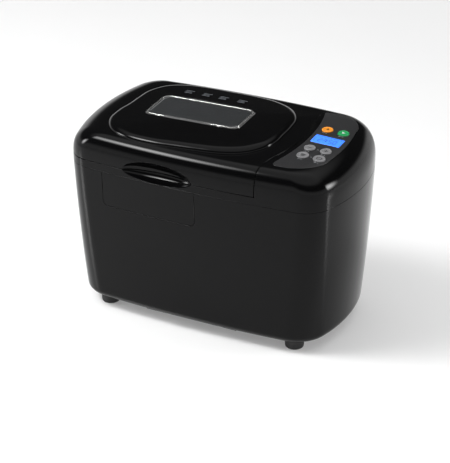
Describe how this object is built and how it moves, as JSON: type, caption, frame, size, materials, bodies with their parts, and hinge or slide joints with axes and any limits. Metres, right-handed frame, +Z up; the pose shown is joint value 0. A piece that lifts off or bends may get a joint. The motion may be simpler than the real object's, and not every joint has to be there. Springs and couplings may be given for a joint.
{
  "type": "bread machine",
  "caption": "Horizontal bread machine with hinged windowed lid, push-button control panel, removable pan with kneading paddles, belt drive and heated baking chamber.",
  "frame": {"origin": "on the table surface, under the middle of the machine", "axes": "+X toward the control end, +Y toward the rear hinge, +Z up"},
  "size_m": [0.41, 0.2313, 0.2883],
  "materials": {
    "gloss_black": "gloss",
    "satin_black": "satin",
    "inner_black": "matte",
    "rubber_dark": "matte",
    "silicone_gray": "matte",
    "panel_gray": "satin",
    "button_orange": "satin",
    "button_green": "satin",
    "button_gray": "satin",
    "display_blue": "clear",
    "smoked_glass": "tinted",
    "clear_glass": "clear",
    "bright_trim": "polished",
    "steel_sheet": "satin",
    "steel_dark": "matte",
    "coated_alu": "non-stick coated",
    "cast_alu": "cast",
    "steel_pin": "turned",
    "board_green": "satin",
    "component_black": "satin",
    "pulley_white": "satin",
    "copper_wound": "wound"
  },
  "bodies": {
    "base": {"body_shell": "gloss_black", "base_plate": "satin_black", "rubber_feet": "rubber_dark", "base_screws": "steel_pin", "upper_housing": "gloss_black", "front_insert_panel": "gloss_black", "hinge_pins": "steel_pin", "control_overlay": "panel_gray", "lcd_window": "display_blue", "lcd_module": "component_black", "control_board": "board_green", "board_bracket": "inner_black", "tact_switches": "component_black", "chamber": "steel_sheet", "heat_shield": "steel_sheet", "heating_element": "steel_dark", "element_clips": "steel_pin", "temperature_sensor": "steel_pin", "thermal_fuse": "component_black", "pan_lock_clips": "steel_pin", "drive_deck": "steel_sheet", "deck_posts": "steel_pin", "spindle_bearings": "cast_alu", "belt_motor": "rubber_dark", "belt_link": "rubber_dark", "motor_housing": "steel_dark", "motor_stator": "copper_wound", "power_board": "board_green", "board_feet": "inner_black", "power_components": "component_black", "cord_gland": "satin_black", "terminal_block": "pulley_white"},
    "lid": {"lid_shell": "gloss_black", "lid_dome_panel": "gloss_black", "window_trim": "bright_trim", "window_glass": "smoked_glass", "inner_glass": "clear_glass", "lid_liner": "steel_sheet", "lid_seal": "silicone_gray"},
    "rotor": {"motor_rotor": "steel_pin", "motor_pulley": "pulley_white"},
    "drive_right": {"spindle_right": "steel_pin", "pulley_right": "pulley_white"},
    "drive_left": {"spindle_left": "steel_pin", "pulley_left": "pulley_white"},
    "pan": {"bread_pan": "coated_alu", "pan_base": "cast_alu", "shaft_seals": "cast_alu", "handle_ears": "steel_pin"},
    "shaft_right": {"pan_shaft_right": "steel_pin"},
    "shaft_left": {"pan_shaft_left": "steel_pin"},
    "blade_right": {"paddle_right": "coated_alu"},
    "blade_left": {"paddle_left": "coated_alu"},
    "handle": {"bail_handle": "steel_pin"},
    "key_stop": {"button_stop": "button_orange"},
    "key_start": {"button_start": "button_green"},
    "key_minus": {"button_minus": "button_gray"},
    "key_plus": {"button_plus": "button_gray"},
    "key_menu": {"button_menu": "button_gray"},
    "key_crust": {"button_crust": "button_gray"}
  },
  "joints": [
    {"name": "lid_hinge", "type": "hinge", "parent": "base", "child": "lid", "pos_m": [0, 0.1153, 0.235], "axis": [-1, 0, 0], "range_deg": [0, 88]},
    {"name": "press_stop", "type": "slide", "parent": "base", "child": "key_stop", "axis": [0, 0, -1], "range_m": [0, 0.001], "stiffness_N_per_m": 600, "springref_m": -0.0005},
    {"name": "press_start", "type": "slide", "parent": "base", "child": "key_start", "axis": [0, 0, -1], "range_m": [0, 0.001], "stiffness_N_per_m": 600, "springref_m": -0.0005},
    {"name": "press_minus", "type": "slide", "parent": "base", "child": "key_minus", "axis": [0, 0, -1], "range_m": [0, 0.001], "stiffness_N_per_m": 600, "springref_m": -0.0005},
    {"name": "press_plus", "type": "slide", "parent": "base", "child": "key_plus", "axis": [0, 0, -1], "range_m": [0, 0.001], "stiffness_N_per_m": 600, "springref_m": -0.0005},
    {"name": "press_menu", "type": "slide", "parent": "base", "child": "key_menu", "axis": [0, 0, -1], "range_m": [0, 0.001], "stiffness_N_per_m": 600, "springref_m": -0.0005},
    {"name": "press_crust", "type": "slide", "parent": "base", "child": "key_crust", "axis": [0, 0, -1], "range_m": [0, 0.001], "stiffness_N_per_m": 600, "springref_m": -0.0005},
    {"name": "motor_spin", "type": "hinge", "parent": "base", "child": "rotor", "pos_m": [0.142, 0, 0.09], "axis": [0, 0, 1], "continuous": true},
    {"name": "drive_right_spin", "type": "hinge", "parent": "base", "child": "drive_right", "pos_m": [0.011, 0, 0.05], "axis": [0, 0, 1], "continuous": true},
    {"name": "drive_left_spin", "type": "hinge", "parent": "base", "child": "drive_left", "pos_m": [-0.101, 0, 0.05], "axis": [0, 0, 1], "continuous": true},
    {"name": "pan_lift", "type": "slide", "parent": "base", "child": "pan", "axis": [0, 0, 1], "range_m": [0, 0.012]},
    {"name": "shaft_right_spin", "type": "hinge", "parent": "pan", "child": "shaft_right", "pos_m": [0.011, 0, 0.09], "axis": [0, 0, 1], "continuous": true},
    {"name": "shaft_left_spin", "type": "hinge", "parent": "pan", "child": "shaft_left", "pos_m": [-0.101, 0, 0.09], "axis": [0, 0, 1], "continuous": true},
    {"name": "blade_right_lift", "type": "slide", "parent": "shaft_right", "child": "blade_right", "axis": [0, 0, 1], "range_m": [0, 0.024]},
    {"name": "blade_left_lift", "type": "slide", "parent": "shaft_left", "child": "blade_left", "axis": [0, 0, 1], "range_m": [0, 0.024]},
    {"name": "handle_swing", "type": "hinge", "parent": "pan", "child": "handle", "pos_m": [-0.045, 0, 0.192], "axis": [-1, 0, 0], "range_deg": [0, 150]}
  ],
  "couplings": [
    {"joint": "drive_right_spin", "follows": "motor_spin", "ratio": 0.23611},
    {"joint": "drive_left_spin", "follows": "motor_spin", "ratio": 0.23611},
    {"joint": "shaft_right_spin", "follows": "motor_spin", "ratio": 0.23611},
    {"joint": "shaft_left_spin", "follows": "motor_spin", "ratio": 0.23611}
  ]
}
